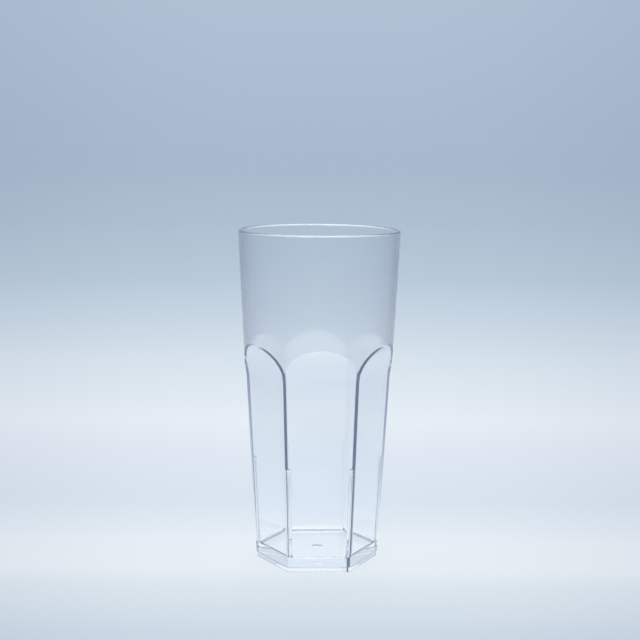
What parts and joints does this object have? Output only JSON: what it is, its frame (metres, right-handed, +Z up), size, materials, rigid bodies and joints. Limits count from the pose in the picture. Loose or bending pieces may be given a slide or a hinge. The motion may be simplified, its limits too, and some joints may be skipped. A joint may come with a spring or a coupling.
{
  "type": "plastic tumbler cup",
  "caption": "Tall clear moulded tumbler: round rim band, arch-topped flats below it and a thick six-sided foot.",
  "frame": {"origin": "centre of the flat underside", "axes": "+Z up along the cup's axis to the rim; the middle of one flat faces -Y and two corners lie on the X axis"},
  "size_m": [0.0724, 0.0724, 0.1505],
  "materials": {
    "clear_plastic": "clear, polished"
  },
  "bodies": {
    "root": {"tumbler": "clear_plastic"}
  },
  "joints": []
}
